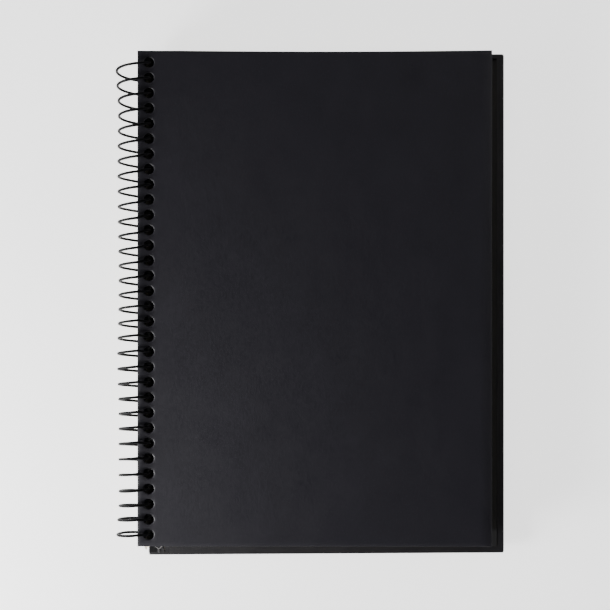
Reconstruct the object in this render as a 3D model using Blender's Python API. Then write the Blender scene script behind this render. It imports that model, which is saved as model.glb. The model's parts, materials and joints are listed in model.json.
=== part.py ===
"""Coil-bound sketchbook, closed and lying on its back cover.

One continuous wire coil threads a row of punched holes down the left edge of a flush-cut front
cover, a black flyleaf, the drawing leaves and a larger, rigid back cover. The back cover is a
greyboard wrapped in a covering whose edges turn in over the board, with a pastedown over them.

Frame: X across the book, Y up the page, Z out of the front cover, in metres. The origin is the
bottom centre of the whole object's bounding box. Every sheet is modelled around the coil's own
axis, which is the line that all the covers and leaves turn about.
"""

import math

import bmesh
import bpy

# Coil
COIL_RADIUS = 0.0087  # axis to the middle of the wire
WIRE_RADIUS = 0.00035
PITCH = 0.006453
HOLES = 32
STEPS_PER_TURN = 16
START_ANGLE = -75.0  # both ends of the wire lie under the back cover
END_ANGLE = 285.0
CRIMP_LENGTH = 0.0036  # the ends are bent along the coil, towards its middle
CRIMP_BEND = 0.0009

# Punching
HOLE_RADIUS = 0.00215
HOLE_INSET = 0.00475  # left edge of a sheet to its row of holes
COVER_HOLE_SIDES = 8
LEAF_HOLE_SIDES = 6

# Front cover and flyleaf
COVER_WIDTH = 0.1505
COVER_HEIGHT = 0.210
COVER_THICKNESS = 0.0006
COVER_TOP = 0.0074  # height of the front cover's face over the coil's axis
FLYLEAF_THICKNESS = 0.0003

# Drawing leaves, in packets that open as a fan, over a block that stays on the back cover
LEAF_WIDTH = 0.148
LEAF_HEIGHT = 0.207
PACKETS = 12
PACKET_THICKNESS = 0.00025
SHEET_GAP = 0.0003
BLOCK_BOTTOM = -0.00245
LEAF_LEAN = 0.0012  # how far the deepest leaves hang back from the bulge of the coil

# Back cover
BACK_WIDTH = 0.155
BACK_HEIGHT = 0.218
BACK_HOLE_INSET = 0.0040
BACK_HOLE_REACH = 0.0069  # the row of holes, measured from the coil's axis
BACK_DROP = 0.00205  # the back cover's middle is this much lower than the front cover's
CORNER_RADIUS = 0.001
CORNER_STEPS = 3
PASTEDOWN_THICKNESS = 0.0002
COVERING_THICKNESS = 0.0003
BOARD_THICKNESS = 0.0013
TURN_IN = 0.015
PASTEDOWN_MARGIN = 0.003
PASTEDOWN_SPINE_MARGIN = 0.001

# Worked out from the sizes above
HALF_TURN_ADVANCE = PITCH / 2
FLYLEAF_TOP = COVER_TOP - COVER_THICKNESS - SHEET_GAP
LEAVES_TOP = FLYLEAF_TOP - FLYLEAF_THICKNESS - SHEET_GAP
BACK_FLYLEAF_TOP = BLOCK_BOTTOM - SHEET_GAP
PASTEDOWN_TOP = BACK_FLYLEAF_TOP - FLYLEAF_THICKNESS - SHEET_GAP
TURN_IN_TOP = PASTEDOWN_TOP - PASTEDOWN_THICKNESS - SHEET_GAP
BOARD_TOP = TURN_IN_TOP - COVERING_THICKNESS - SHEET_GAP
BOARD_BOTTOM = BOARD_TOP - BOARD_THICKNESS
COVERING_TOP = BOARD_BOTTOM - SHEET_GAP
COVERING_BOTTOM = COVERING_TOP - COVERING_THICKNESS
COIL_REACH = COIL_RADIUS + WIRE_RADIUS
BACK_LEFT = BACK_HOLE_REACH - BACK_HOLE_INSET
BOX_MIDDLE = (BACK_LEFT + BACK_WIDTH - COIL_REACH) / 2
BOARD_SHRINK = COVERING_THICKNESS + SHEET_GAP


def clear_scene():
    """Remove every object from the open scene."""
    for obj in list(bpy.data.objects):
        bpy.data.objects.remove(obj, do_unlink=True)


def finish(name, colour, roughness, metallic=0.0):
    """A plain Principled material."""
    material = bpy.data.materials.new(name)
    material.use_nodes = True
    shader = material.node_tree.nodes["Principled BSDF"]
    shader.inputs["Base Color"].default_value = (*colour, 1.0)
    shader.inputs["Roughness"].default_value = roughness
    shader.inputs["Metallic"].default_value = metallic
    return material


def wire_reach(height):
    """Distance of the wire's middle from the coil's axis, measured across the book."""
    return math.sqrt(COIL_RADIUS**2 - height**2)


def wire_angle(height):
    """Angle round the coil, from +X towards +Z, where the wire's inner run is at a height."""
    return math.atan2(height, wire_reach(height))


def wire_rise(height):
    """How far up the page the wire's inner run is, counted from its place in the front cover."""
    front = wire_angle(COVER_TOP - COVER_THICKNESS / 2)
    return (front - wire_angle(height)) / (2 * math.pi) * PITCH


def hole_heights(row_middle):
    """Places of the holes up the page."""
    first = row_middle + (HOLES - 1) / 2 * PITCH
    return [first - number * PITCH for number in range(HOLES)]


def rectangle(left, right, low, high, radius=0.0):
    """Outline points of a rectangle, counter-clockwise, with round corners if a radius is given."""
    if radius == 0.0:
        return [(left, low), (right, low), (right, high), (left, high)]
    corners = (
        (right - radius, low + radius, -90.0),
        (right - radius, high - radius, 0.0),
        (left + radius, high - radius, 90.0),
        (left + radius, low + radius, 180.0),
    )
    points = []
    for x, y, start in corners:
        for step in range(CORNER_STEPS + 1):
            angle = math.radians(start + 90.0 * step / CORNER_STEPS)
            points.append((x + radius * math.cos(angle), y + radius * math.sin(angle)))
    return points


def polygon(x, y, radius, sides):
    """Outline points of a regular polygon with a corner at its top."""
    angles = [math.pi / 2 + 2 * math.pi * side / sides for side in range(sides)]
    return [(x + radius * math.cos(a), y + radius * math.sin(a)) for a in angles]


def add_loop(bm, points, height):
    """Add a closed ring of edges at a height."""
    ring = [bm.verts.new((x, y, height)) for x, y in points]
    return [bm.edges.new((ring[i - 1], ring[i])) for i in range(len(ring))]


def plate_mesh(name, outlines, bottom, top):
    """Mesh of a flat plate: the first outline is its edge, and the others are holes through it."""
    bm = bmesh.new()
    edges = []
    for points in outlines:
        edges += add_loop(bm, points, bottom)
    bmesh.ops.triangle_fill(bm, edges=edges, use_beauty=True, normal=(0, 0, 1))
    raised = bmesh.ops.extrude_face_region(bm, geom=bm.faces[:])
    risen = [item for item in raised["geom"] if isinstance(item, bmesh.types.BMVert)]
    bmesh.ops.translate(bm, verts=risen, vec=(0, 0, top - bottom))
    bmesh.ops.recalc_face_normals(bm, faces=bm.faces[:])
    mesh = bpy.data.meshes.new(name)
    bm.to_mesh(mesh)
    bm.free()
    return mesh


def add_object(name, data, axis, material=None):
    """Put an object on the coil's axis."""
    obj = bpy.data.objects.new(name, data)
    bpy.context.collection.objects.link(obj)
    obj.parent = axis
    if material:
        data.materials.append(material)
    return obj


def punched_sheet(name, axis, material, outline, bottom, thickness, row, sides):
    """A flat sheet with the row of holes for the coil; row is its reach and its middle."""
    reach, middle = row
    holes = [polygon(reach, y, HOLE_RADIUS, sides) for y in hole_heights(middle)]
    mesh = plate_mesh(name, [outline] + holes, bottom, bottom + thickness)
    return add_object(name, mesh, axis, material)


def add_front_cover(axis, material):
    """The flush-cut front cover, centred on the wire in its holes."""
    height = COVER_TOP - COVER_THICKNESS / 2
    reach = wire_reach(height)
    left = reach - HOLE_INSET
    half = COVER_HEIGHT / 2
    outline = rectangle(left, left + COVER_WIDTH, -half, half)
    bottom = COVER_TOP - COVER_THICKNESS
    row = (reach, 0.0)
    punched_sheet("front_cover", axis, material, outline, bottom, COVER_THICKNESS, row, COVER_HOLE_SIDES)


def add_leaves(name, axis, material, top, thickness, turn, sides):
    """Leaves that turn with the share turn of the cover's angle: the wire crosses their holes."""
    height = top - thickness / 2
    reach = wire_reach(height) - LEAF_LEAN * (1.0 - turn) ** 2
    middle = wire_rise(height) - HALF_TURN_ADVANCE / 2 * turn
    left = reach - HOLE_INSET
    half = LEAF_HEIGHT / 2
    outline = rectangle(left, left + LEAF_WIDTH, middle - half, middle + half)
    punched_sheet(name, axis, material, outline, top - thickness, thickness, (reach, middle), sides)


def add_text_block(axis, paper):
    """The packets of drawing leaves, from the top down, and the block under them."""
    top = LEAVES_TOP
    for number in range(1, PACKETS + 1):
        turn = 1.0 - number / (PACKETS + 1)
        name = f"leaf_packet_{number:02d}"
        add_leaves(name, axis, paper, top, PACKET_THICKNESS, turn, LEAF_HOLE_SIDES)
        top -= PACKET_THICKNESS + SHEET_GAP
    add_leaves("leaf_block", axis, paper, top, top - BLOCK_BOTTOM, 0.0, LEAF_HOLE_SIDES)


def back_outline(inset, spine_inset, radius):
    """Outline of a layer of the back cover, inset from the cover's own edge."""
    low = -BACK_DROP - BACK_HEIGHT / 2 + inset
    high = -BACK_DROP + BACK_HEIGHT / 2 - inset
    return rectangle(BACK_LEFT + spine_inset, BACK_LEFT + BACK_WIDTH - inset, low, high, radius)


def add_cut(obj, axis, name, outlines, bottom, top):
    """Cut prisms out of an object."""
    bm = bmesh.new()
    for points in outlines:
        mesh = plate_mesh(name, [points], bottom, top)
        bm.from_mesh(mesh)
        bpy.data.meshes.remove(mesh)
    joined = bpy.data.meshes.new(name)
    bm.to_mesh(joined)
    bm.free()
    cutter = add_object(name, joined, axis)
    cutter.hide_render = True
    cutter.display_type = "WIRE"
    cut = obj.modifiers.new(name, "BOOLEAN")
    cut.operation = "DIFFERENCE"
    cut.object = cutter


def add_back_cover(axis, covering, greyboard, endpaper):
    """Covering, board and pastedown, punched together."""
    row = (BACK_HOLE_REACH, wire_rise((PASTEDOWN_TOP + COVERING_BOTTOM) / 2))
    holes = [polygon(row[0], y, HOLE_RADIUS, LEAF_HOLE_SIDES) for y in hole_heights(row[1])]

    outline = back_outline(PASTEDOWN_MARGIN, PASTEDOWN_SPINE_MARGIN, 0.0)
    bottom = PASTEDOWN_TOP - PASTEDOWN_THICKNESS
    punched_sheet(
        "pastedown", axis, endpaper, outline, bottom, PASTEDOWN_THICKNESS, row, LEAF_HOLE_SIDES
    )

    outline = back_outline(BOARD_SHRINK, BOARD_SHRINK, 0.0)
    punched_sheet(
        "back_board", axis, greyboard, outline, BOARD_BOTTOM, BOARD_THICKNESS, row, LEAF_HOLE_SIDES
    )

    outline = back_outline(0.0, 0.0, CORNER_RADIUS)
    mesh = plate_mesh("back_covering", [outline], COVERING_BOTTOM, TURN_IN_TOP)
    wrap = add_object("back_covering", mesh, axis, covering)
    pocket = back_outline(COVERING_THICKNESS, COVERING_THICKNESS, 0.0)
    window = back_outline(TURN_IN, TURN_IN, 0.0)
    above = TURN_IN_TOP + COVERING_THICKNESS
    below = COVERING_BOTTOM - COVERING_THICKNESS
    add_cut(wrap, axis, "cut_board_pocket", [pocket], COVERING_TOP, BOARD_TOP + SHEET_GAP)
    add_cut(wrap, axis, "cut_turn_in_window", [window], BOARD_TOP, above)
    add_cut(wrap, axis, "cut_holes", holes, below, above)


def coil_points():
    """Middle of the wire: crimped end, helix, crimped end."""
    first = hole_heights(0.0)[0]
    front = wire_angle(COVER_TOP - COVER_THICKNESS / 2)
    step = 360.0 / STEPS_PER_TURN
    start, end = START_ANGLE, END_ANGLE + 360.0 * (HOLES - 1)
    angles = [start]
    angles += [n * step for n in range(math.ceil(start / step + 0.5), math.floor(end / step - 0.5) + 1)]
    angles.append(end)
    points = []
    for degrees in angles:
        angle = math.radians(degrees)
        y = first - (angle - front) / (2 * math.pi) * PITCH
        points.append((COIL_RADIUS * math.cos(angle), y, COIL_RADIUS * math.sin(angle)))
    return [*crimp(points[0], start, -1.0), *points, *reversed(crimp(points[-1], end, 1.0))]


def crimp(point, degrees, way):
    """The bent end at one point of the coil, outermost point first; way is +1 up the page."""
    x, y, z = point
    angle = math.radians(degrees)
    along = (-math.sin(angle) * way * CRIMP_BEND, math.cos(angle) * way * CRIMP_BEND)
    knee = (x + along[0], y + way * CRIMP_BEND / 2, z + along[1])
    tip = (knee[0], knee[1] + way * CRIMP_LENGTH, knee[2])
    return [tip, knee]


def add_coil(axis, material):
    """The wire, as one round rod along the coil."""
    curve = bpy.data.curves.new("wire_coil", "CURVE")
    curve.dimensions = "3D"
    curve.bevel_depth = WIRE_RADIUS
    curve.bevel_resolution = 0
    curve.use_fill_caps = True
    points = coil_points()
    spline = curve.splines.new("POLY")
    spline.points.add(len(points) - 1)
    for point, place in zip(spline.points, points):
        point.co = (*place, 1.0)
    add_object("wire_coil", curve, axis, material)


def main():
    """Build the sketchbook."""
    clear_scene()
    axis = bpy.data.objects.new("coil_axis", None)
    bpy.context.collection.objects.link(axis)
    axis.location = (-BOX_MIDDLE, BACK_DROP, COIL_REACH)

    black_card = finish("black_card", (0.016, 0.015, 0.018), 0.42)
    black_paper = finish("black_paper", (0.014, 0.014, 0.015), 0.8)
    cream_paper = finish("cream_paper", (0.78, 0.72, 0.6), 0.85)
    leatherette = finish("leatherette", (0.017, 0.016, 0.02), 0.5)
    greyboard = finish("greyboard", (0.32, 0.29, 0.25), 0.9)
    black_wire = finish("black_wire", (0.012, 0.012, 0.013), 0.25, 0.6)

    add_front_cover(axis, black_card)
    add_leaves(
        "front_flyleaf", axis, black_paper, FLYLEAF_TOP, FLYLEAF_THICKNESS, 1.0, COVER_HOLE_SIDES
    )
    add_text_block(axis, cream_paper)
    add_leaves(
        "back_flyleaf", axis, black_paper, BACK_FLYLEAF_TOP, FLYLEAF_THICKNESS, 0.0, LEAF_HOLE_SIDES
    )
    add_back_cover(axis, leatherette, greyboard, black_paper)
    add_coil(axis, black_wire)


main()
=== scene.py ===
"""Coil-bound sketchbook: front cover, leaves and wrapped back cover on a single black wire coil."""

import json
import logging
import math
import random
from dataclasses import dataclass, field
from enum import Enum

import bmesh
import bpy
from mathutils import Matrix, Vector


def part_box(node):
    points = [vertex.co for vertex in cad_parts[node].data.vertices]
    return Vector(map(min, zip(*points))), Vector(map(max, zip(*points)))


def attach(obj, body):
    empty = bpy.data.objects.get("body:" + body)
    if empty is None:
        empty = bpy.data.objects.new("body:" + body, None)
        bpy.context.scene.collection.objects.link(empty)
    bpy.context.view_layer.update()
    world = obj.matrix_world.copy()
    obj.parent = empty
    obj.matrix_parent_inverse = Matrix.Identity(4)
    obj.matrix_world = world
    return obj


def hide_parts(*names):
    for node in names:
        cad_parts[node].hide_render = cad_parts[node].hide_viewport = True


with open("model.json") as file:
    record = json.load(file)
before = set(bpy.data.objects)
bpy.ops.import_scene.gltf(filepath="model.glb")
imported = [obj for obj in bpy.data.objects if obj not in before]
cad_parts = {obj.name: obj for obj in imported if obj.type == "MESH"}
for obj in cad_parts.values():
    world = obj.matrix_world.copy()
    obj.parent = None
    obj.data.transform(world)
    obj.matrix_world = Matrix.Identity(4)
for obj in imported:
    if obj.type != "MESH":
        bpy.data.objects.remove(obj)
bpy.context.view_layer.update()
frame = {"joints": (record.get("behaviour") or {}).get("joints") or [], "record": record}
LOG = logging.getLogger("sketchbook")
MM = 0.001
NEAR = 0.01 * MM
WELD = 0.0005 * MM
SMOOTH_ANGLE = math.radians(35.0)
SHARP_ANGLE = math.radians(60.0)


class Grain(Enum):
    """The kinds of surface relief that the papers and coverings have."""

    FELT = "felt"
    LEATHER = "leather"
    TOOTH = "tooth"
    PULP = "pulp"


class NodeBench:
    """A material under construction, with short calls for its nodes."""

    def __init__(self, name: str) -> None:
        """Start an empty Principled material.

        Args:
            name: The material's name.
        """
        self.material = bpy.data.materials.new(name)
        self.material.use_nodes = True
        self.tree = self.material.node_tree
        self.shader = self.tree.nodes["Principled BSDF"]
        coordinates = self.tree.nodes.new("ShaderNodeTexCoord")
        self.place = coordinates.outputs["Object"]

    def link(self, source: bpy.types.NodeSocket, target: bpy.types.NodeSocket) -> None:
        """Join two sockets."""
        self.tree.links.new(source, target)

    def stretch(self, scale: tuple[float, float, float]) -> bpy.types.NodeSocket:
        """Stretch the pattern space.

        Args:
            scale: Factors along X, Y and Z, in cycles per metre.

        Returns:
            The socket with the stretched coordinates.
        """
        node = self.tree.nodes.new("ShaderNodeMapping")
        node.inputs["Scale"].default_value = scale
        self.link(self.place, node.inputs["Vector"])
        return node.outputs["Vector"]

    def noise(
        self, scale: tuple[float, float, float], detail: float = 3.0, roughness: float = 0.55
    ) -> bpy.types.NodeSocket:
        """Smooth noise.

        Args:
            scale: Cycles per metre along each axis.
            detail: Octaves of finer noise.
            roughness: Strength of the finer octaves.

        Returns:
            The noise's value socket, from 0 to 1.
        """
        node = self.tree.nodes.new("ShaderNodeTexNoise")
        node.inputs["Scale"].default_value = 1.0
        node.inputs["Detail"].default_value = detail
        node.inputs["Roughness"].default_value = roughness
        self.link(self.stretch(scale), node.inputs["Vector"])
        return node.outputs["Fac"]

    def cells(self, scale: float) -> bpy.types.NodeSocket:
        """Rounded cells like those of pressed leather.

        Args:
            scale: Cells per metre.

        Returns:
            The distance socket.
        """
        node = self.tree.nodes.new("ShaderNodeTexVoronoi")
        node.feature = "SMOOTH_F1"
        node.inputs["Scale"].default_value = 1.0
        self.link(self.stretch((scale, scale, scale)), node.inputs["Vector"])
        return node.outputs["Distance"]

    def ramp(
        self, source: bpy.types.NodeSocket, low: float, high: float, start: float, end: float
    ) -> bpy.types.NodeSocket:
        """Map a range of values to another one, clamped.

        Args:
            source: The value to map.
            low: Input value that gives start.
            high: Input value that gives end.
            start: First output value.
            end: Last output value.

        Returns:
            The mapped value.
        """
        node = self.tree.nodes.new("ShaderNodeMapRange")
        node.inputs["From Min"].default_value = low
        node.inputs["From Max"].default_value = high
        node.inputs["To Min"].default_value = start
        node.inputs["To Max"].default_value = end
        self.link(source, node.inputs["Value"])
        return node.outputs["Result"]

    def sum(self, parts: list[tuple[bpy.types.NodeSocket, float]]) -> bpy.types.NodeSocket:
        """Weighted sum of values.

        Args:
            parts: Sockets and their weights.

        Returns:
            The socket with the sum.
        """
        total = None
        for source, weight in parts:
            node = self.tree.nodes.new("ShaderNodeMath")
            node.operation = "MULTIPLY_ADD"
            node.inputs[1].default_value = weight
            node.inputs[2].default_value = 0.0
            self.link(source, node.inputs[0])
            if total is not None:
                self.link(total, node.inputs[2])
            total = node.outputs["Value"]
        return total

    def tint(
        self,
        mask: bpy.types.NodeSocket,
        dark: tuple[float, float, float],
        light: tuple[float, float, float],
    ) -> bpy.types.NodeSocket:
        """Mix two colours.

        Args:
            mask: 0 gives dark and 1 gives light.
            dark: Linear colour.
            light: Linear colour.

        Returns:
            The colour socket.
        """
        node = self.tree.nodes.new("ShaderNodeMix")
        node.data_type = "RGBA"
        node.inputs["A"].default_value = (*dark, 1.0)
        node.inputs["B"].default_value = (*light, 1.0)
        self.link(mask, node.inputs["Factor"])
        return node.outputs["Result"]

    def relief(self, height: bpy.types.NodeSocket, depth: float) -> None:
        """Bump the whole surface.

        Args:
            height: The relief, from 0 to 1.
            depth: Its depth in metres.
        """
        node = self.tree.nodes.new("ShaderNodeBump")
        node.inputs["Strength"].default_value = 1.0
        node.inputs["Distance"].default_value = depth
        self.link(height, node.inputs["Height"])
        self.link(node.outputs["Normal"], self.shader.inputs["Normal"])


@dataclass(frozen=True)
class SheetFinish:
    """Paper, card, board or covering.

    Attributes:
        name: The material's name.
        dark: Linear colour of the darker mottle.
        light: Linear colour of the lighter mottle.
        gloss: Lowest roughness.
        matt: Highest roughness.
        grain: The kind of relief.
        depth: Depth of the relief in metres.
        specular: Specular level.
        specks: Strength of the few paler fibres.
    """

    name: str
    dark: tuple[float, float, float]
    light: tuple[float, float, float]
    gloss: float
    matt: float
    grain: Grain
    depth: float
    specular: float = 0.5
    specks: float = 0.0

    def material(self) -> bpy.types.Material:
        """Build the material.

        Returns:
            The material.
        """
        bench = NodeBench(self.name)
        mottle = bench.noise((95.0, 70.0, 95.0), detail=4.0, roughness=0.6)
        fibre = bench.noise((1500.0, 520.0, 1500.0), detail=2.0)
        fleck = bench.noise((2600.0, 2600.0, 2600.0), detail=1.0)
        speck = bench.ramp(bench.noise((1700.0, 900.0, 1700.0), detail=0.0), 0.68, 0.78, 0.0, 1.0)
        shade = bench.sum([(mottle, 0.3), (fibre, 0.5), (fleck, 0.2), (speck, self.specks)])
        colour = bench.tint(bench.ramp(shade, 0.3, 0.7, 0.0, 1.0), self.dark, self.light)
        bench.link(colour, bench.shader.inputs["Base Color"])
        unevenness = bench.sum([(mottle, 0.25), (fibre, 0.35), (fleck, 0.4)])
        rough = bench.ramp(unevenness, 0.35, 0.65, self.gloss, self.matt)
        bench.link(rough, bench.shader.inputs["Roughness"])
        bench.shader.inputs["Specular IOR Level"].default_value = self.specular
        bench.relief(self._height(bench, fibre, fleck), self.depth)
        return bench.material

    def _height(
        self, bench: NodeBench, fibre: bpy.types.NodeSocket, fleck: bpy.types.NodeSocket
    ) -> bpy.types.NodeSocket:
        """Relief for this grain.

        Args:
            bench: The material under construction.
            fibre: Noise stretched along the page.
            fleck: Fine noise.

        Returns:
            The height socket.
        """
        if self.grain is Grain.FELT:
            return bench.sum([(fibre, 0.65), (fleck, 0.35)])
        if self.grain is Grain.LEATHER:
            return bench.sum([(bench.cells(1250.0), 0.8), (fleck, 0.2)])
        if self.grain is Grain.TOOTH:
            tooth = bench.noise((1900.0, 1900.0, 1900.0), detail=2.0)
            return bench.sum([(tooth, 0.7), (fleck, 0.3)])
        pulp = bench.noise((700.0, 700.0, 2400.0), detail=4.0, roughness=0.7)
        return bench.sum([(pulp, 0.8), (fleck, 0.2)])


@dataclass(frozen=True)
class WireFinish:
    """Coloured coating on steel wire, rubbed thin in places.

    Attributes:
        name: The material's name.
        coating: Linear colour of the coating.
        rubbed: Linear colour where it is rubbed.
        roughness: Roughness of the coating.
        clear: Weight of the glossy top coat.
        clear_roughness: Roughness of the top coat.
        specular: Specular level of the coating.
    """

    name: str = "coil_coating"
    coating: tuple[float, float, float] = (0.004, 0.004, 0.0045)
    rubbed: tuple[float, float, float] = (0.02, 0.02, 0.021)
    roughness: float = 0.32
    clear: float = 0.0
    clear_roughness: float = 0.15
    specular: float = 0.04

    def material(self) -> bpy.types.Material:
        """Build the material.

        Returns:
            The material.
        """
        bench = NodeBench(self.name)
        bench.shader.inputs["Specular IOR Level"].default_value = self.specular
        wear = bench.noise((420.0, 420.0, 420.0), detail=3.0, roughness=0.7)
        colour = bench.tint(bench.ramp(wear, 0.6, 0.78, 0.0, 1.0), self.coating, self.rubbed)
        bench.link(colour, bench.shader.inputs["Base Color"])
        rough = bench.ramp(wear, 0.3, 0.75, self.roughness, self.roughness + 0.18)
        bench.link(rough, bench.shader.inputs["Roughness"])
        bench.shader.inputs["Coat Weight"].default_value = self.clear
        bench.shader.inputs["Coat Roughness"].default_value = self.clear_roughness
        orange_peel = bench.noise((2300.0, 2300.0, 2300.0), detail=1.0)
        bench.relief(orange_peel, 0.000006)
        return bench.material


@dataclass(frozen=True)
class Finishes:
    """Every finish on the book."""

    cover: SheetFinish = SheetFinish(
        "cover_card", (0.0102, 0.0093, 0.0140), (0.0160, 0.0146, 0.0210), 0.45, 0.55, Grain.FELT, 0.000017,
        0.5, 0.8
    )
    # Painted shade: the front cover's cut edges and hole walls are near-black, far darker than the card, to
    # give it a dark outline.
    cover_edge_shade: SheetFinish = SheetFinish(
        "cover_card_edge_painted_shade", (0.001, 0.001, 0.001), (0.003, 0.003, 0.003), 0.9, 1.0, Grain.PULP, 0.00001, 0.02
    )
    flyleaf: SheetFinish = SheetFinish(
        "black_paper", (0.009, 0.009, 0.01), (0.015, 0.015, 0.016), 0.75, 0.9, Grain.FELT, 0.00002, 0.3
    )
    leaf: SheetFinish = SheetFinish(
        "drawing_paper", (0.70, 0.63, 0.50), (0.80, 0.73, 0.61), 0.82, 0.95, Grain.TOOTH, 0.00002, 0.3
    )
    leaf_edge: SheetFinish = SheetFinish(
        "drawing_paper_edge", (0.58, 0.51, 0.39), (0.72, 0.65, 0.52), 0.9, 1.0, Grain.PULP, 0.00002, 0.2
    )
    # Painted shade: near-black walls for the leaves' holes, whose paper is really cream.
    leaf_hole_shade: SheetFinish = SheetFinish(
        "drawing_paper_hole_painted_shade", (0.03, 0.027, 0.023), (0.07, 0.063, 0.055), 0.9, 1.0, Grain.PULP, 0.00002, 0.1
    )
    covering: SheetFinish = SheetFinish(
        "leatherette", (0.0062, 0.0058, 0.0076), (0.012, 0.0114, 0.014), 0.42, 0.58, Grain.LEATHER, 0.00004
    )
    board: SheetFinish = SheetFinish(
        "greyboard", (0.20, 0.185, 0.16), (0.36, 0.33, 0.29), 0.85, 0.98, Grain.PULP, 0.00005, 0.2
    )
    torn: SheetFinish = SheetFinish(
        "torn_covering", (0.10, 0.10, 0.105), (0.34, 0.34, 0.35), 0.8, 0.95, Grain.PULP, 0.00002, 0.2
    )
    rubbed: SheetFinish = SheetFinish(
        "rubbed_covering", (0.016, 0.016, 0.018), (0.04, 0.04, 0.042), 0.6, 0.8, Grain.PULP, 0.00002
    )
    # Painted shade: darker than the covering, for the doubled fold at the corner and the shadow line along
    # the fold.
    crease_shade: SheetFinish = SheetFinish(
        "creased_covering_painted_shade", (0.002, 0.002, 0.0025), (0.005, 0.005, 0.006), 0.5, 0.6, Grain.LEATHER, 0.00002,
        0.2
    )
    wire: WireFinish = WireFinish()


@dataclass(frozen=True)
class Binding:
    """The coil and the punching, which every sheet follows.

    Attributes:
        axis: A point on the coil's own axis, level with the middle of the front cover's holes.
        radius: Axis to the middle of the wire.
        wire_radius: Half the wire's thickness.
        pitch: Advance of the wire in one turn, which is also the spacing of the holes.
        holes: Number of holes.
        hole_radius: Radius of a punched hole.
        inset: Left edge of a sheet to its row of holes.
        front_height: Height over the axis at which the wire is in the middle of its holes.
    """

    axis: Vector
    front_height: float
    radius: float = 8.7 * MM
    wire_radius: float = 0.56 * MM
    pitch: float = 6.453 * MM
    holes: int = 32
    hole_radius: float = 2.15 * MM
    inset: float = 4.75 * MM

    def reach(self, height: float) -> float:
        """Distance of the wire's inner run from the axis, at a height over the axis."""
        return math.sqrt(self.radius**2 - height**2)

    def angle(self, height: float) -> float:
        """Angle round the coil of the wire's inner run, at a height over the axis."""
        return math.atan2(height, self.reach(height))

    def rise(self, height: float) -> float:
        """How far up the page the inner run is at a height, counted from the front cover's."""
        turned = self.angle(self.front_height) - self.angle(height)
        return turned / math.tau * self.pitch

    def rows(self, middle: float) -> list[float]:
        """Places of the holes.

        Args:
            middle: Middle of the row, as a Y coordinate.

        Returns:
            The Y coordinate of each hole, from the top down.
        """
        first = middle + (self.holes - 1) / 2 * self.pitch
        return [first - number * self.pitch for number in range(self.holes)]


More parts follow.
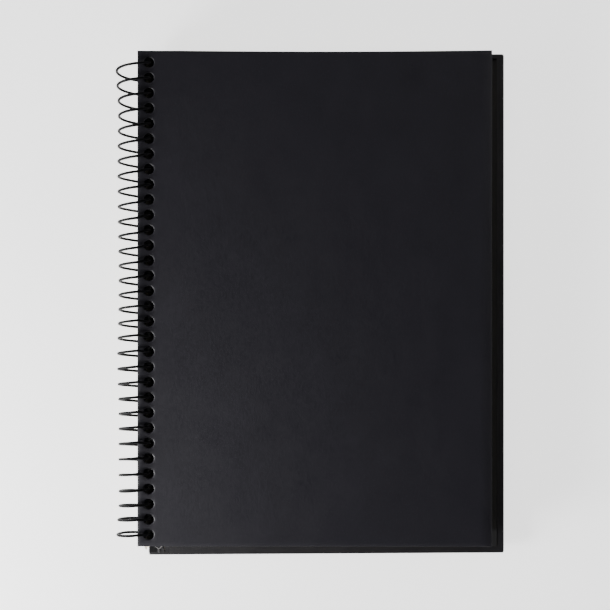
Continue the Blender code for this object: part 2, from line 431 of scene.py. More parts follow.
@dataclass
class PunchedSheet:
    """A flat sheet with the row of holes, built round each hole and drawn out to its edges.

    Attributes:
        binding: The punching.
        low: Lowest corner.
        high: Highest corner.
        row: X and Y of the middle of the row of holes.
        sides: Corners of a hole, a multiple of 8.
        columns: Steps across the plain part.
        corner: Radius of the sheet's corners, or 0.
        edge: Radius of its edges, or 0.
        edge_steps: Facets of a rounded edge.
        rim: Radius of the holes' upper rims, or 0.
        hole_radius: Radius of the holes, or 0 for the binding's.
    """

    binding: Binding
    low: Vector
    high: Vector
    row: tuple[float, float]
    sides: int = 16
    columns: int = 4
    corner: float = 0.0
    edge: float = 0.0
    edge_steps: int = 2
    rim: float = 0.0
    hole_radius: float = 0.0

    def build(self) -> bmesh.types.BMesh:
        """Build the closed sheet.

        Returns:
            The mesh, to be freed by the caller.
        """
        bm = bmesh.new()
        for y in self.binding.rows(self.row[1]):
            self._punch(bm, Vector((self.row[0], y, self.low.z)))
        bmesh.ops.remove_doubles(bm, verts=bm.verts[:], dist=0.001 * MM)
        half = self.binding.pitch / 2
        span = self.binding.holes * half
        self._draw_out(bm, 0, self.row[0] - half, self.low.x, 1)
        self._draw_out(bm, 0, self.row[0] + half, self.high.x, self.columns)
        self._draw_out(bm, 1, self.row[1] + span, self.high.y, 1)
        self._draw_out(bm, 1, self.row[1] - span, self.low.y, 1)
        self._thicken(bm)
        self._round_corners(bm)
        self._round_rims(bm)
        self._round_edges(bm)
        return bm

    def _punch(self, bm: bmesh.types.BMesh, place: Vector) -> None:
        """Add the square of sheet round one hole.

        Args:
            bm: The sheet's mesh.
            place: The hole's middle.
        """
        half = self.binding.pitch / 2
        radius = self.hole_radius or self.binding.hole_radius
        at = Matrix.Translation(place)
        outer = bmesh.ops.create_circle(bm, segments=self.sides, radius=half, matrix=at)["verts"]
        for vert in outer:
            offset = vert.co - place
            vert.co = place + offset * (half / max(abs(offset.x), abs(offset.y)))
        inner = bmesh.ops.create_circle(bm, segments=self.sides, radius=radius, matrix=at)["verts"]
        ring = {edge for vert in outer + inner for edge in vert.link_edges}
        bmesh.ops.bridge_loops(bm, edges=list(ring))

    def _draw_out(
        self, bm: bmesh.types.BMesh, axis: int, start: float, end: float, steps: int
    ) -> None:
        """Extrude the edges on one side of the sheet, outwards.

        Args:
            bm: The sheet's mesh.
            axis: 0 to go along X, 1 to go along Y.
            start: Coordinate of the edges.
            end: Coordinate to reach.
            steps: Number of extrusions.
        """
        edges = [
            edge
            for edge in bm.edges
            if edge.is_boundary and all(abs(vert.co[axis] - start) < NEAR for vert in edge.verts)
        ]
        move = Vector((0.0, 0.0, 0.0))
        move[axis] = (end - start) / steps
        for _ in range(steps):
            made = bmesh.ops.extrude_edge_only(bm, edges=edges)["geom"]
            risen = [item for item in made if isinstance(item, bmesh.types.BMVert)]
            edges = [item for item in made if isinstance(item, bmesh.types.BMEdge)]
            bmesh.ops.translate(bm, verts=risen, vec=move)

    def _thicken(self, bm: bmesh.types.BMesh) -> None:
        """Give the flat sheet its thickness."""
        made = bmesh.ops.extrude_face_region(bm, geom=bm.faces[:])["geom"]
        risen = [item for item in made if isinstance(item, bmesh.types.BMVert)]
        bmesh.ops.translate(bm, verts=risen, vec=(0.0, 0.0, self.high.z - self.low.z))
        bmesh.ops.recalc_face_normals(bm, faces=bm.faces[:])

    def _in_hole(self, place: Vector) -> bool:
        """Whether a point is on the wall of a hole."""
        radius = self.hole_radius or self.binding.hole_radius
        if abs(place.x - self.row[0]) > 1.05 * radius:
            return False
        count = (self.row[1] - place.y) / self.binding.pitch + (self.binding.holes - 1) / 2
        number = round(count)
        if not 0 <= number < self.binding.holes:
            return False
        offset = (count - number) * self.binding.pitch
        return math.hypot(place.x - self.row[0], offset) < 1.02 * radius

    def _round_corners(self, bm: bmesh.types.BMesh) -> None:
        """Round the four upright corners."""
        if not self.corner:
            return
        edges = [
            edge
            for edge in bm.edges
            if edge.calc_face_angle(0.0) > SHARP_ANGLE
            and abs(edge.verts[0].co.z - edge.verts[1].co.z) > 0.1 * MM
        ]
        bmesh.ops.bevel(
            bm, geom=edges, offset=self.corner, offset_type="OFFSET", segments=6, profile=0.5,
            affect="EDGES", material=-1,
        )

    def _round_rims(self, bm: bmesh.types.BMesh) -> None:
        """Round the upper rims of the holes, as a blunt punch leaves them."""
        if not self.rim:
            return
        edges = [
            edge
            for edge in bm.edges
            if all(abs(v.co.z - self.high.z) < NEAR and self._in_hole(v.co) for v in edge.verts)
        ]
        bmesh.ops.bevel(
            bm, geom=edges, offset=self.rim, offset_type="OFFSET", segments=4, profile=0.5,
            affect="EDGES", material=-1,
        )

    def _round_edges(self, bm: bmesh.types.BMesh) -> None:
        """Round the outer edges of both faces."""
        if not self.edge:
            return
        edges = [
            edge
            for edge in bm.edges
            if edge.calc_face_angle(0.0) > SHARP_ANGLE
            and abs(edge.verts[0].co.z - edge.verts[1].co.z) < NEAR
            and not self._in_hole(edge.verts[0].co)
        ]
        bmesh.ops.bevel(
            bm, geom=edges, offset=self.edge, offset_type="OFFSET", segments=self.edge_steps,
            profile=0.5, affect="EDGES", material=-1,
        )


def piece_from(
    bm: bmesh.types.BMesh, name: str, materials: list[bpy.types.Material], edge_slope: float = 0.3
) -> bpy.types.Object:
    """Make an object of a finished mesh and free the mesh.

    Args:
        bm: The mesh, in the row frame.
        name: The object's name.
        materials: Face finish, then the finish of cut edges if there is one.
        edge_slope: Faces whose normal's height is less than this get the cut edges' finish.

    Returns:
        The object.
    """
    if len(materials) > 1:
        for face in bm.faces:
            face.material_index = int(abs(face.normal.z) < edge_slope)
    mesh = bpy.data.meshes.new(name)
    bm.to_mesh(mesh)
    bm.free()
    mesh.shade_smooth()
    mesh.set_sharp_from_angle(angle=SMOOTH_ANGLE)
    for material in materials:
        mesh.materials.append(material)
    piece = bpy.data.objects.new(name, mesh)
    bpy.context.scene.collection.objects.link(piece)
    return piece


def swept(curve: bpy.types.Curve) -> bmesh.types.BMesh:
    """Turn a bevelled curve into a mesh and remove the curve.

    Args:
        curve: The curve.

    Returns:
        The mesh, to be freed by the caller.
    """
    path = bpy.data.objects.new(curve.name, curve)
    bpy.context.scene.collection.objects.link(path)
    mesh = bpy.data.meshes.new_from_object(path)
    bpy.data.objects.remove(path)
    bpy.data.curves.remove(curve)
    bm = bmesh.new()
    bm.from_mesh(mesh)
    bpy.data.meshes.remove(mesh)
    return bm


def settle(piece: bpy.types.Object, body: str, slot: str, *nodes: str) -> bpy.types.Object:
    """Put a piece on its body, in place of its CAD nodes.

    Args:
        piece: The finished piece.
        body: The CAD body that it rides on.
        slot: The record's material slot; not used.
        nodes: CAD nodes that it stands for.

    Returns:
        The piece.
    """
    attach(piece, body)
    if nodes:
        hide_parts(*nodes)
    LOG.info("%s rides on %s, %d faces", piece.name, body, len(piece.data.polygons))
    return piece


@dataclass
class FrontCover:
    """The flush-cut front cover, slightly lifted at its free corners.

    Attributes:
        binding: The punching.
        finishes: The book's finishes.
        lift: Height of the top right corner over the flat sheet.
        lower_lift: Height of the bottom right corner.
        rim: Radius of the holes' rims.
        edge: Radius of the trimmed edges.
        cupping: How far the punched margin curls up at its edge.
        trim: How much narrower the cover is than its CAD node.
        hollow: How far the head is out of true, in its middle.
        hollow_from: Share of the way up the cover at which the hollow starts.
        flat: Share of the way across at which the corners start to lift.
    """

    binding: Binding
    finishes: Finishes
    lift: float = 0.6 * MM
    lower_lift: float = 0.3 * MM
    rim: float = 0.45 * MM
    edge: float = 0.1 * MM
    cupping: float = 0.25 * MM
    trim: float = 0.4 * MM
    hollow: float = 0.4 * MM
    hollow_from: float = 0.97
    flat: float = 0.12

    def build(self) -> None:
        """Build and place the cover."""
        low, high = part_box("front_cover")
        row = (low.x + self.binding.inset, (low.y + high.y) / 2)
        high.x -= self.trim
        sheet = PunchedSheet(
            self.binding, low, high, row, sides=32, columns=28, rim=self.rim, edge=self.edge
        )
        bm = sheet.build()
        self._curl(bm, low, high)
        # The second finish, on the cut edges and hole walls, is painted shade.
        dress = [self.finishes.cover.material(), self.finishes.cover_edge_shade.material()]
        piece = piece_from(bm, "front_cover_sheet", dress)
        settle(piece, "cover", "cover_card", "front_cover")

    def _curl(self, bm: bmesh.types.BMesh, low: Vector, high: Vector) -> None:
        """Lift the corners away from the coil.

        Args:
            bm: The cover's mesh.
            low: Lowest corner of the flat cover.
            high: Highest corner of the flat cover.
        """
        for vert in bm.verts:
            across = max(0.0, (vert.co.x - low.x) / (high.x - low.x) - self.flat) / (1.0 - self.flat)
            up = (vert.co.y - low.y) / (high.y - low.y)
            upper = max(0.0, 2.0 * up - 1.0)
            lower = max(0.0, 1.0 - 2.0 * up)
            lift = self.lift * upper**2.4 + self.lower_lift * lower**2.0
            margin = max(0.0, 1.0 - (vert.co.x - low.x) / (2.0 * self.binding.inset))
            vert.co.z += lift * across**1.8 + self.cupping * margin**2
            share = smooth_step(self.hollow_from, 1.0, up)
            vert.co.y -= self.hollow * math.sin(math.pi * across) * share


@dataclass
class DrawingLeaves:
    """The flyleaves and every drawing leaf, sheet by sheet.

    Attributes:
        binding: The punching.
        finishes: The book's finishes.
        leaves_in_packet: Drawing leaves on each turning body.
        spacing: From one leaf to the next.
        air: Gap between two leaves.
        jog: How unevenly the leaves are knocked up, along X and Y.
        hole_radius: Radius of the leaves' holes, wide so that the wire clears them fully open or shut.
        set_off: How far, along X and Y, the turning leaves' holes are off their places, also for clearance.
        flyleaf_share: Factor on the Y part of set_off for the front flyleaf.
        trim: How much narrower the leaves are than their CAD nodes, at the fore edge.
        head: How much longer than its CAD node the front flyleaf is at its head, to hide the leaves.
        seed: Seed of the unevenness.
    """

    binding: Binding
    finishes: Finishes
    leaves_in_packet: int = 3
    spacing: float = 0.55 * MM / 3
    air: float = 0.018 * MM
    jog: float = 0.04 * MM
    hole_radius: float = 2.5 * MM
    set_off: tuple[float, float] = (0.4 * MM, -0.12 * MM)
    flyleaf_share: float = 1.8
    trim: float = 0.9 * MM
    head: float = 0.7 * MM
    seed: int = 7
    _random: random.Random = field(init=False)
    _dress: list[bpy.types.Material] = field(init=False)

    def __post_init__(self) -> None:
        """Prepare the seeded unevenness and the paper."""
        self._random = random.Random(self.seed)
        finishes = (self.finishes.leaf, self.finishes.leaf_edge, self.finishes.leaf_hole_shade)
        self._dress = [finish.material() for finish in finishes]

    def build(self) -> None:
        """Build and place the flyleaves, the turning packets and the block."""
        record = frame["record"]["behaviour"]["bodies"]
        for body, nodes in record.items():
            for node in nodes:
                if node.startswith("leaf_"):
                    self._packet(node, body)
        black = self.finishes.flyleaf.material()
        for node, body in (("front_flyleaf", "flyleaf"), ("back_flyleaf", "back_half")):
            low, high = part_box(node)
            along = self.flyleaf_share * self.set_off[1] if body == "flyleaf" else 0.0
            bm = self._leaf(low, high, 24, (0.0, along))
            if body == "flyleaf":
                head = [vert for vert in bm.verts if vert.co.y > high.y - MM]
                bmesh.ops.translate(bm, verts=head, vec=(0.0, self.head, 0.0))
            settle(piece_from(bm, f"{node}_sheet", [black]), body, "black_paper", node)

    def _leaf(
        self, low: Vector, high: Vector, sides: int, set_off: tuple[float, float]
    ) -> bmesh.types.BMesh:
        """One leaf.

        Args:
            low: Lowest corner.
            high: Highest corner.
            sides: Corners of a hole.
            set_off: How far the holes are off their places, along X and Y.

        Returns:
            The leaf's mesh.
        """
        row = (low.x + self.binding.inset + set_off[0], (low.y + high.y) / 2 + set_off[1])
        far = Vector((high.x - self.trim, high.y, high.z))
        return PunchedSheet(
            self.binding, low, far, row, sides=sides, columns=3, hole_radius=self.hole_radius
        ).build()

    def _packet(self, node: str, body: str) -> None:
        """The leaves that one CAD node stands for.

        Args:
            node: The CAD node.
            body: Its body.
        """
        low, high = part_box(node)
        count = self.leaves_in_packet
        set_off = self.set_off
        if node == "leaf_block":
            count = round((high.z - low.z) / self.spacing)
            set_off = (0.0, 0.0)
        middle = (low.z + high.z) / 2
        mean_reach = self.binding.reach(middle - self.binding.axis.z)
        packet = bmesh.new()
        for number in range(count):
            z = middle + (number - (count - 1) / 2) * self.spacing
            bulge = self.binding.reach(z - self.binding.axis.z) - mean_reach
            step = Vector((bulge + self._random.uniform(-1, 1) * self.jog, 0.0, 0.0))
            step.y = self._random.uniform(-1, 1) * self.jog
            half = (self.spacing - self.air) / 2
            corner = Vector((low.x, low.y, z - half)) + step
            far = Vector((high.x, high.y, z + half)) + step
            leaf = self._leaf(corner, far, 16, set_off)
            mesh = bpy.data.meshes.new("leaf")
            leaf.to_mesh(mesh)
            leaf.free()
            packet.from_mesh(mesh)
            bpy.data.meshes.remove(mesh)
        piece = piece_from(packet, f"{node}_sheets", self._dress)
        self._paint_hole_shade(piece, low, high)
        settle(piece, body, "drawing_paper", node)

    def _paint_hole_shade(self, piece: bpy.types.Object, low: Vector, high: Vector) -> None:
        """Give the walls of the holes painted shade, a near-black finish in place of the cream paper, so
        that no pale paper shows in the cover's holes.

        Args:
            piece: The packet.
            low: Lowest corner of its CAD node.
            high: Highest corner.
        """
        middle = low.x + self.binding.inset
        end = self.binding.hole_radius / 2
        for face in piece.data.polygons:
            beside = abs(face.center.x - middle) < 1.5 * self.hole_radius
            inside = low.y + end < face.center.y < high.y - end
            if beside and inside and abs(face.normal.z) < 0.3:
                # Painted shade: the hole walls take the near-black third finish.
                face.material_index = 2


@dataclass
class BackCover:
    """The rigid back cover: board, covering with turned-in edges, and pastedown.

    Attributes:
        binding: The punching.
        finishes: The book's finishes.
        skin: Thickness of the covering.
        glue: Gap that keeps the layers apart.
        turn_in: Width of the turned-in covering.
        edge: Radius of the wrapped edges.
        corner: Radius of the corners.
        pastedown_thickness: Thickness of the pastedown.
        out_of_square: How much longer the cover is at its spine than at its fore edge.
        overhang: How much further out the fore edge is than in the CAD node.
        overhang_from: Share of the way across at which the overhang starts.
        hole_inset: Left edge of the covering to its row of holes.
    """

    binding: Binding
    finishes: Finishes
    skin: float = 0.3 * MM
    glue: float = 0.02 * MM
    turn_in: float = 15.0 * MM
    edge: float = 0.62 * MM
    corner: float = 1.0 * MM
    pastedown_thickness: float = 0.16 * MM
    out_of_square: float = 0.9 * MM
    overhang: float = 0.3 * MM
    overhang_from: float = 0.8
    hole_inset: float = 4.0 * MM
    _row: tuple[float, float] = field(init=False)

    def __post_init__(self) -> None:
        """Find the row of holes, which all three layers share."""
        low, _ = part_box("back_covering")
        _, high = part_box("pastedown")
        middle = (low.z + high.z) / 2 - self.binding.axis.z
        self._row = (low.x + self.hole_inset, self.binding.axis.y + self.binding.rise(middle))

    def build(self) -> None:
        """Build and place every layer."""
        covering = self.finishes.covering.material()
        self._wrap(covering)
        self._board()
        self._pastedown()

    def _wrap(self, covering: bpy.types.Material) -> None:
        """The covering: a punched slab, hollowed for the board and open inside its turn-ins.

        Args:
            covering: Its material.
        """
        low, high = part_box("back_covering")
        slab = PunchedSheet(
            self.binding, low, high, self._row, sides=24, columns=3, corner=self.corner,
            edge=self.edge, edge_steps=5, rim=0.12 * MM,
        )
        piece = piece_from(slab.build(), "back_cover_wrap", [covering])
        skin = Vector((self.skin, self.skin, self.skin))
        self._hollow(piece, low + skin, high - skin)
        inner = Vector((self.turn_in, self.turn_in, 0.0))
        window_low = low + inner
        window_low.z = high.z - 3 * self.skin
        window_high = high - inner
        window_high.z = high.z + self.skin
        self._hollow(piece, window_low, window_high)
        self._trim(piece)
        piece.data.shade_smooth()
        piece.data.set_sharp_from_angle(angle=SMOOTH_ANGLE)
        settle(piece, "back_half", "leatherette", "back_covering")

    def _trim(self, piece: bpy.types.Object) -> None:
        """Draw the foot of a layer out of square, below the last hole, and its fore edge out.

        Args:
            piece: The layer.
        """
        low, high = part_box("back_covering")
        last = self.binding.rows(self._row[1])[-1] - self.binding.pitch / 2
        for vert in piece.data.vertices:
            share = smooth_step(last, low.y, vert.co.y)
            inward = (vert.co.x - low.x) / (high.x - low.x)
            vert.co.y -= self.out_of_square * share * (1.0 - inward)
            vert.co.x += self.overhang * smooth_step(self.overhang_from, 1.0, inward)

    def _hollow(self, piece: bpy.types.Object, low: Vector, high: Vector) -> None:
        """Cut a box out of a piece.

        Args:
            piece: The piece to cut.
            low: The box's lowest corner.
            high: The box's highest corner.
        """
        bm = bmesh.new()
        size = high - low
        at = Matrix.Translation((low + high) / 2) @ Matrix.Diagonal((*size, 1.0))
        bmesh.ops.create_cube(bm, size=1.0, matrix=at)
        mesh = bpy.data.meshes.new("hollow")
        bm.to_mesh(mesh)
        bm.free()
        cutter = bpy.data.objects.new("hollow", mesh)
        bpy.context.scene.collection.objects.link(cutter)
        cut = piece.modifiers.new("hollow", "BOOLEAN")
        cut.object = cutter
        graph = bpy.context.evaluated_depsgraph_get()
        made = bpy.data.meshes.new_from_object(piece.evaluated_get(graph))
        piece.modifiers.clear()
        old = piece.data
        piece.data = made
        bpy.data.meshes.remove(old)
        bpy.data.objects.remove(cutter)
        bpy.data.meshes.remove(mesh)
        made.name = piece.name

    def _board(self) -> None:
        """The greyboard, which shows in the walls of the holes."""
        low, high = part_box("back_covering")
        inset = self.skin + self.glue
        inset = Vector((inset, inset, inset))
        slab = PunchedSheet(
            self.binding, low + inset, high - inset, self._row, sides=24, columns=3, edge=0.2 * MM
        )
        piece = piece_from(slab.build(), "back_board_slab", [self.finishes.board.material()])
        self._trim(piece)
        settle(piece, "back_half", "greyboard", "back_board")

    def _pastedown(self) -> None:
        """The black sheet glued over the turn-ins."""
        low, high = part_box("pastedown")
        _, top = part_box("back_covering")
        low.z = top.z + self.glue
        high.z = low.z + self.pastedown_thickness
        sheet = PunchedSheet(self.binding, low, high, self._row, sides=24, columns=3)
        piece = piece_from(sheet.build(), "pastedown_sheet", [self.finishes.flyleaf.material()])
        settle(piece, "back_half", "black_paper", "pastedown")


@dataclass(frozen=True)
class Stray:
    """A smooth departure of a few loops from the even coil.

    Attributes:
        loop: Number of the loop in the middle of it, from 0 at the top.
        spread: How many loops it reaches either way.
        outward: How much further the loops stand out.
        front: How far their front run leans up the page.
        back: How far their back run leans up the page.
    """

    loop: float
    spread: float
    outward: float
    front: float
    back: float


@dataclass
class WireCoil:
    """One black-coated wire through every hole, with both ends bent in under the book.

    Attributes:
        binding: The coil's geometry.
        finishes: The book's finishes.
        start: Angle of the upper end round the coil, in degrees from +X towards +Z.
        end: Angle of the lower end on its last turn.
        steps: Straight pieces in a turn.
        bend: Radius of the bent ends.
        tail: Length of the bent ends.
        flattening: Power that keeps a loop's flattening to its lowest part.
        strays: The departures of the loops from an even coil.
    """

    binding: Binding
    finishes: Finishes
    start: float = -75.0
    end: float = 285.0
    steps: int = 48
    bend: float = 1.0 * MM
    tail: float = 2.9 * MM
    flattening: int = 8
    strays: tuple[Stray, ...] = (
        Stray(0.3, 1.7, 1.25 * MM, 0.0, 0.3 * MM),
        Stray(0.4, 0.5, 0.0, 0.0, -0.4 * MM),
        Stray(6.5, 3.3, 0.5 * MM, -0.55 * MM, 0.45 * MM),
        Stray(10.6, 2.2, 0.2 * MM, -0.7 * MM, 0.0),
        Stray(18.0, 2.4, 0.1 * MM, 1.2 * MM, 0.6 * MM),
        Stray(19.8, 2.0, 0.6 * MM, 0.0, 0.4 * MM),
        Stray(24.3, 3.8, 0.0, 1.2 * MM, 0.3 * MM),
        Stray(28.2, 0.6, 0.0, -0.3 * MM, -0.04 * MM),
        Stray(29.0, 1.6, -0.1 * MM, -0.1 * MM, -0.45 * MM),
        Stray(30.0, 0.8, 0.0, 0.4 * MM, -0.1 * MM),
        Stray(31.0, 1.0, 1.0 * MM, 0.5 * MM, 0.7 * MM),
    )

    def build(self) -> None:
        """Build and place the coil."""
        curve = bpy.data.curves.new("coil_path", "CURVE")
        curve.dimensions = "3D"
        curve.bevel_depth = self.binding.wire_radius
        curve.bevel_resolution = 4
        curve.use_fill_caps = True
        points = self._points()
        spline = curve.splines.new("POLY")
        spline.points.add(len(points) - 1)
        for point, place in zip(spline.points, points):
            point.co = (*place, 1.0)
        bm = swept(curve)
        bmesh.ops.remove_doubles(bm, verts=bm.verts[:], dist=WELD)
        bmesh.ops.recalc_face_normals(bm, faces=bm.faces[:])
        piece = piece_from(bm, "coil_wire", [self.finishes.wire.material()])
        settle(piece, "back_half", "coil_wire", "wire_coil")

    def _place(self, degrees: float) -> Vector:
        """Middle of the wire at an angle.

        Args:
            degrees: Angle round the coil, counted on over every turn.

        Returns:
            The point, in the row frame.
        """
        binding = self.binding
        angle = math.radians(degrees)
        turned = (angle - binding.angle(binding.front_height)) / math.tau
        outward, front, back = self._knock(turned)
        around = degrees % 360.0
        behind = smooth_step(120.0, 240.0, around)
        leaving = smooth_step(58.0, 88.0, around)
        entering = 1.0 - smooth_step(272.0, 300.0, around)
        along = front * leaving * (1.0 - behind) + back * behind * entering
        x = binding.radius * math.cos(angle) - outward * max(0.0, -math.cos(angle))
        y = binding.rows(0.0)[0] - turned * binding.pitch + along
        height = binding.radius * math.sin(angle)
        if height < 0.0:
            sunk = binding.radius + binding.wire_radius - binding.axis.z
            height += sunk * (-math.sin(angle)) ** self.flattening
        return binding.axis + Vector((x, y, height))

    def _knock(self, loop: float) -> tuple[float, float, float]:
        """How far a loop stands out and leans.

        Args:
            loop: Its number, from 0 at the top.

        Returns:
            The distance outwards, and those of the front and back runs up the page.
        """
        outward, front, back = 0.0, 0.0, 0.0
        for stray in self.strays:
            share = math.exp(-(((loop - stray.loop) / stray.spread) ** 2))
            outward += stray.outward * share
            front += stray.front * share
            back += stray.back * share
        return outward, front, back

    def _points(self) -> list[Vector]:
        """Middle of the wire from one bent end to the other.

        Returns:
            The points.
        """
        last = self.end + 360.0 * (self.binding.holes - 1)
        count = round((last - self.start) / 360.0 * self.steps)
        angles = [self.start + (last - self.start) * n / count for n in range(count + 1)]
        helix = [self._place(degrees) for degrees in angles]
        upper = self._bent_end(helix[0], helix[0] - helix[1], -1.0)
        lower = self._bent_end(helix[-1], helix[-1] - helix[-2], 1.0)
        return [*reversed(upper), *helix, *lower]

    def _bent_end(self, foot: Vector, onward: Vector, way: float) -> list[Vector]:
        """The crimped end, from the coil outwards.

        Args:
            foot: Last point of the coil.
            onward: Direction in which the wire leaves it.
            way: 1 to bend up the page, -1 to bend down it.

        Returns:
            The end's points, without foot.
        """
        onward = onward.normalized()
        sideways = Vector((0.0, way, 0.0))
        points = []
        for step in range(1, 9):
            angle = math.radians(90.0 * step / 8)
            points.append(
                foot + self.bend * (math.sin(angle) * onward + (1.0 - math.cos(angle)) * sideways)
            )
        points.append(points[-1] + self.tail * sideways)
        return points


def smooth_step(low: float, high: float, value: float) -> float:
    """Ease from 0 at low to 1 at high."""
    share = min(1.0, max(0.0, (value - low) / (high - low)))
    return share * share * (3.0 - 2.0 * share)


@dataclass
class Studio:
    """Pale floor, soft lights and the camera over the book.

    Attributes:
        height: Camera over the front cover's face.
        view_width: Width of what the camera sees at that face.
        aim: X and Y under the camera.
        sensor: Width of the camera's sensor, in its own unit.
        floor_glow: Light given off by the backlit floor around the book.
        shade_margin: How far the floor's shaded part reaches beyond the book.
        wall: Height to which the floor sweeps up.
        sweep: How much wider the sweep makes the floor.
        spread: How many times wider than its shaded part the floor is, along X and Y.
        shaded_area: Area in square metres below which a face of the floor is its shaded part.
        sky: Strength of the sky's light.
    """

    height: float = 0.365
    view_width: float = 0.2584
    aim: tuple[float, float] = (-0.0032, -0.0007)
    sensor: float = 36.0
    floor_glow: float = 1.8
    shade_margin: float = 0.8 * MM
    wall: float = 1.1
    sweep: float = 0.3
    spread: tuple[float, float] = (38.0, 28.0)
    shaded_area: float = 0.1
    sky: float = 0.008

    def build(self) -> None:
        """Set up the floor, the lights, the sky and the camera."""
        self._floor()
        self._lights()
        self._camera()

    def _camera(self) -> None:
        """Place the camera straight over the book."""
        _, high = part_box("front_cover")
        camera = bpy.data.cameras.new("camera")
        camera.sensor_width = self.sensor
        camera.lens = self.sensor * self.height / self.view_width
        seen = bpy.data.objects.new("camera", camera)
        bpy.context.scene.collection.objects.link(seen)
        seen.location = (*self.aim, high.z + self.height)
        bpy.context.scene.camera = seen

    def _floor(self) -> None:
        """A plain pale floor."""
        low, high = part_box("back_covering")
        margin = Vector((self.shade_margin, self.shade_margin, 0.0))
        middle = Matrix.Translation((low + high) / 2 * Vector((1.0, 1.0, 0.0)))
        under = Matrix.Diagonal((*((high - low) / 2 + margin).xy, 1.0, 1.0))
        bm = bmesh.new()
        bmesh.ops.create_grid(bm, x_segments=1, y_segments=1, size=1.0, matrix=middle @ under)
        made = bmesh.ops.extrude_edge_only(bm, edges=bm.edges[:])["geom"]
        rim = [item for item in made if isinstance(item, bmesh.types.BMVert)]
        bmesh.ops.scale(bm, vec=(*self.spread, 1.0), verts=rim)
        self._sweep_up(bm, rim)
        bmesh.ops.recalc_face_normals(bm, faces=bm.faces[:])
        mesh = bpy.data.meshes.new("floor")
        for face in bm.faces:
            face.material_index = int(face.calc_area() > self.shaded_area)
        bm.to_mesh(mesh)
        bm.free()
        mesh.materials.append(self._floor_paint("shaded_floor", 0.0))
        mesh.materials.append(self._floor_paint("pale_floor", self.floor_glow))
        floor = bpy.data.objects.new("floor", mesh)
        bpy.context.scene.collection.objects.link(floor)

    def _sweep_up(self, bm: bmesh.types.BMesh, rim: list[bmesh.types.BMVert]) -> None:
        """Sweep the floor's rim up into walls, as a studio backdrop has.

        Args:
            bm: The floor's mesh.
            rim: The vertices on its rim.
        """
        edges = [edge for edge in bm.edges if edge.is_boundary and edge.verts[0] in rim]
        for step in range(1, 9):
            turn = math.radians(90.0 * step / 8)
            made = bmesh.ops.extrude_edge_only(bm, edges=edges)["geom"]
            risen = [item for item in made if isinstance(item, bmesh.types.BMVert)]
            edges = [item for item in made if isinstance(item, bmesh.types.BMEdge)]
            grow = 1.0 + self.sweep * (math.sin(turn) - math.sin(turn - math.pi / 16))
            bmesh.ops.scale(bm, vec=(grow, grow, 1.0), verts=risen)
            rise = self.wall * (math.cos(turn - math.pi / 16) - math.cos(turn))
            bmesh.ops.translate(bm, verts=risen, vec=(0.0, 0.0, rise))

    def _floor_paint(self, name: str, glow: float) -> bpy.types.Material:
        """Pale paint for the floor.

        Args:
            name: The material's name.
            glow: Light that the floor gives off, as a lit backdrop does.

        Returns:
            The material.
        """
        bench = NodeBench(name)
        bench.shader.inputs["Base Color"].default_value = (0.9, 0.9, 0.9, 1.0)
        bench.shader.inputs["Roughness"].default_value = 0.9
        bench.shader.inputs["Emission Color"].default_value = (1.0, 1.0, 1.0, 1.0)
        bench.shader.inputs["Emission Strength"].default_value = glow
        return bench.material

    def _lights(self) -> None:
        """A near lamp and a far window low at the left, a reflector at the right and a faint sky."""
        self._soft_box("lamp", (-0.40, -0.25, 0.14), (0.22, 0.12), 5.3)
        self._soft_box("window", (-2.4, -0.2, 0.80), (1.2, 0.7), 14.0)
        self._soft_box("reflector", (1.05, 0.95, 0.30), (0.8, 0.3), 8.0)
        world = bpy.data.worlds.new("sky")
        world.use_nodes = True
        background = world.node_tree.nodes["Background"]
        background.inputs["Color"].default_value = (0.95, 0.97, 1.0, 1.0)
        background.inputs["Strength"].default_value = self.sky
        bpy.context.scene.world = world

    def _soft_box(
        self, name: str, place: tuple[float, float, float], size: tuple[float, float], power: float
    ) -> None:
        """A rectangular light that faces the book.

        Args:
            name: The light's name.
            place: Its middle.
            size: Its width and height.
            power: Its power in watts.
        """
        light = bpy.data.lights.new(name, "AREA")
        light.shape = "RECTANGLE"
        light.size = size[0]
        light.size_y = size[1]
        light.energy = power
        lamp = bpy.data.objects.new(name, light)
        bpy.context.scene.collection.objects.link(lamp)
        lamp.location = place
        lamp.rotation_euler = (-Vector(place)).to_track_quat("-Z", "Y").to_euler()


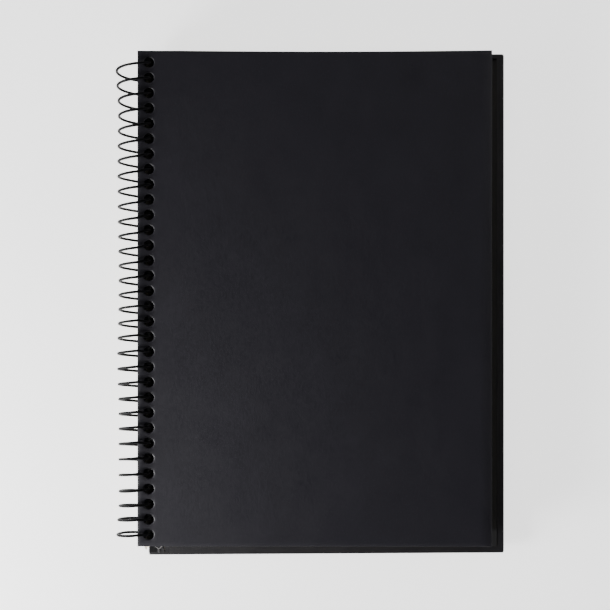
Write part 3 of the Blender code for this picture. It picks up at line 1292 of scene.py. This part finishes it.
@dataclass
class Wear:
    """Signs of use at the foot of the spine: a scuffed fold, drawn with painted shade on its doubled
    covering and a painted shadow line along it, and a scrap of a torn-out leaf.

    Attributes:
        finishes: The book's finishes.
        fold: Width and depth of the doubled covering at the corner.
        film: Thickness of the doubled covering.
        scrap: Thickness of the scrap.
    """

    finishes: Finishes
    fold: tuple[float, float] = (3.1 * MM, 9.0 * MM)
    film: float = 0.06 * MM
    scrap: float = 0.14 * MM

    def build(self) -> None:
        """Build and place the marks."""
        low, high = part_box("back_covering")
        corner = Vector((low.x, low.y, high.z))
        self._doubled_fold(corner)
        self._line(
            corner, "scuffed_ridge", self.finishes.torn.material(),
            [(3.0, 2.9), (3.6, 2.35), (4.5, 1.95), (5.3, 2.3), (6.0, 3.1)], 0.2 * MM,
        )
        self._line(
            corner, "rubbed_streak", self.finishes.rubbed.material(),
            [(4.3, 1.9), (4.6, 1.2), (4.9, 0.35), (4.95, 0.0)], 0.55 * MM,
        )
        # Painted shadow: a dark line along the fold, in the painted-shade finish.
        self._line(
            corner, "fold_shadow_line", self.finishes.crease_shade.material(),
            [(5.9, 4.2), (6.4, 2.4), (7.0, 0.6), (7.15, 0.1)], 0.28 * MM,
        )
        self._scrap()

    def _doubled_fold(self, corner: Vector) -> None:
        """The doubled covering at the corner, in a darker finish that is painted shade.

        Args:
            corner: The covering's corner at the foot of the spine.
        """
        inset = 0.35 * MM
        width, depth = self.fold
        size = Vector((width, depth, self.film))
        middle = corner + Vector((inset + width / 2, inset + depth / 2, self.film / 2))
        bm = bmesh.new()
        at = Matrix.Translation(middle) @ Matrix.Diagonal((*size, 1.0))
        bmesh.ops.create_cube(bm, size=1.0, matrix=at)
        piece = piece_from(bm, "doubled_fold", [self.finishes.crease_shade.material()])
        settle(piece, "back_half", "leatherette")

    def _line(
        self, corner: Vector, name: str, material: bpy.types.Material,
        places: list[tuple[float, float]], half_width: float,
    ) -> None:
        """A flat streak on the covering.

        Args:
            corner: The covering's corner.
            name: The piece's name.
            material: Its finish.
            places: Its middle line, in millimetres from the corner.
            half_width: Half its width in the middle.
        """
        curve = bpy.data.curves.new(name, "CURVE")
        curve.dimensions = "3D"
        curve.bevel_depth = half_width
        curve.bevel_resolution = 3
        curve.use_fill_caps = True
        spline = curve.splines.new("NURBS")
        spline.points.add(len(places) - 1)
        spline.use_endpoint_u = True
        spline.order_u = 3
        for number, (x, y) in enumerate(places):
            point = spline.points[number]
            point.co = (corner.x + x * MM, corner.y + y * MM, 0.0, 1.0)
            point.radius = 0.35 + 0.65 * math.sin(math.pi * (number + 0.5) / len(places))
        bm = swept(curve)
        flat = Matrix.Diagonal((1.0, 1.0, self.film / half_width, 1.0))
        bmesh.ops.transform(bm, verts=bm.verts[:], matrix=flat)
        bmesh.ops.translate(bm, verts=bm.verts[:], vec=(0.0, 0.0, corner.z + self.film))
        bmesh.ops.remove_doubles(bm, verts=bm.verts[:], dist=WELD)
        bmesh.ops.recalc_face_normals(bm, faces=bm.faces[:])
        settle(piece_from(bm, name, [material]), "back_half", "leatherette")

    def _scrap(self) -> None:
        """The scrap of paper, held between the last leaf and the back flyleaf."""
        low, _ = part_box("front_cover")
        block_low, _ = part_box("leaf_block")
        _, flyleaf_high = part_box("back_flyleaf")
        level = (block_low.z + flyleaf_high.z - self.scrap) / 2
        outline = [
            (0.3, -2.5), (1.2, -3.0), (1.6, -4.1), (2.1, -4.15), (2.3, -3.1),
            (3.3, -2.9), (6.0, -1.0), (6.0, 1.5), (2.0, 1.2),
        ]
        bm = bmesh.new()
        corners = [bm.verts.new((low.x + x * MM, low.y + y * MM, level)) for x, y in outline]
        bm.faces.new(corners)
        made = bmesh.ops.extrude_face_region(bm, geom=bm.faces[:])["geom"]
        risen = [item for item in made if isinstance(item, bmesh.types.BMVert)]
        bmesh.ops.translate(bm, verts=risen, vec=(0.0, 0.0, self.scrap))
        bmesh.ops.recalc_face_normals(bm, faces=bm.faces[:])
        piece = piece_from(bm, "torn_scrap", [self.finishes.leaf.material()])
        settle(piece, "back_half", "drawing_paper")


def read_binding() -> Binding:
    """Read the coil's axis and the front cover's place from the frame.

    Returns:
        The binding.
    """
    hinge = next(joint for joint in frame["joints"] if joint["name"] == "cover_turn")
    low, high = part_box("front_cover")
    middle = (low + high) / 2
    x, _, z = hinge["pos_m"]
    return Binding(axis=Vector((x, middle.y, z)), front_height=middle.z - z)


def main() -> None:
    """Build the sketchbook and its studio."""
    logging.basicConfig(level=logging.INFO)
    binding = read_binding()
    finishes = Finishes()
    Studio().build()
    FrontCover(binding, finishes).build()
    DrawingLeaves(binding, finishes).build()
    BackCover(binding, finishes).build()
    WireCoil(binding, finishes).build()
    Wear(finishes).build()


if __name__ == "__main__":
    main()
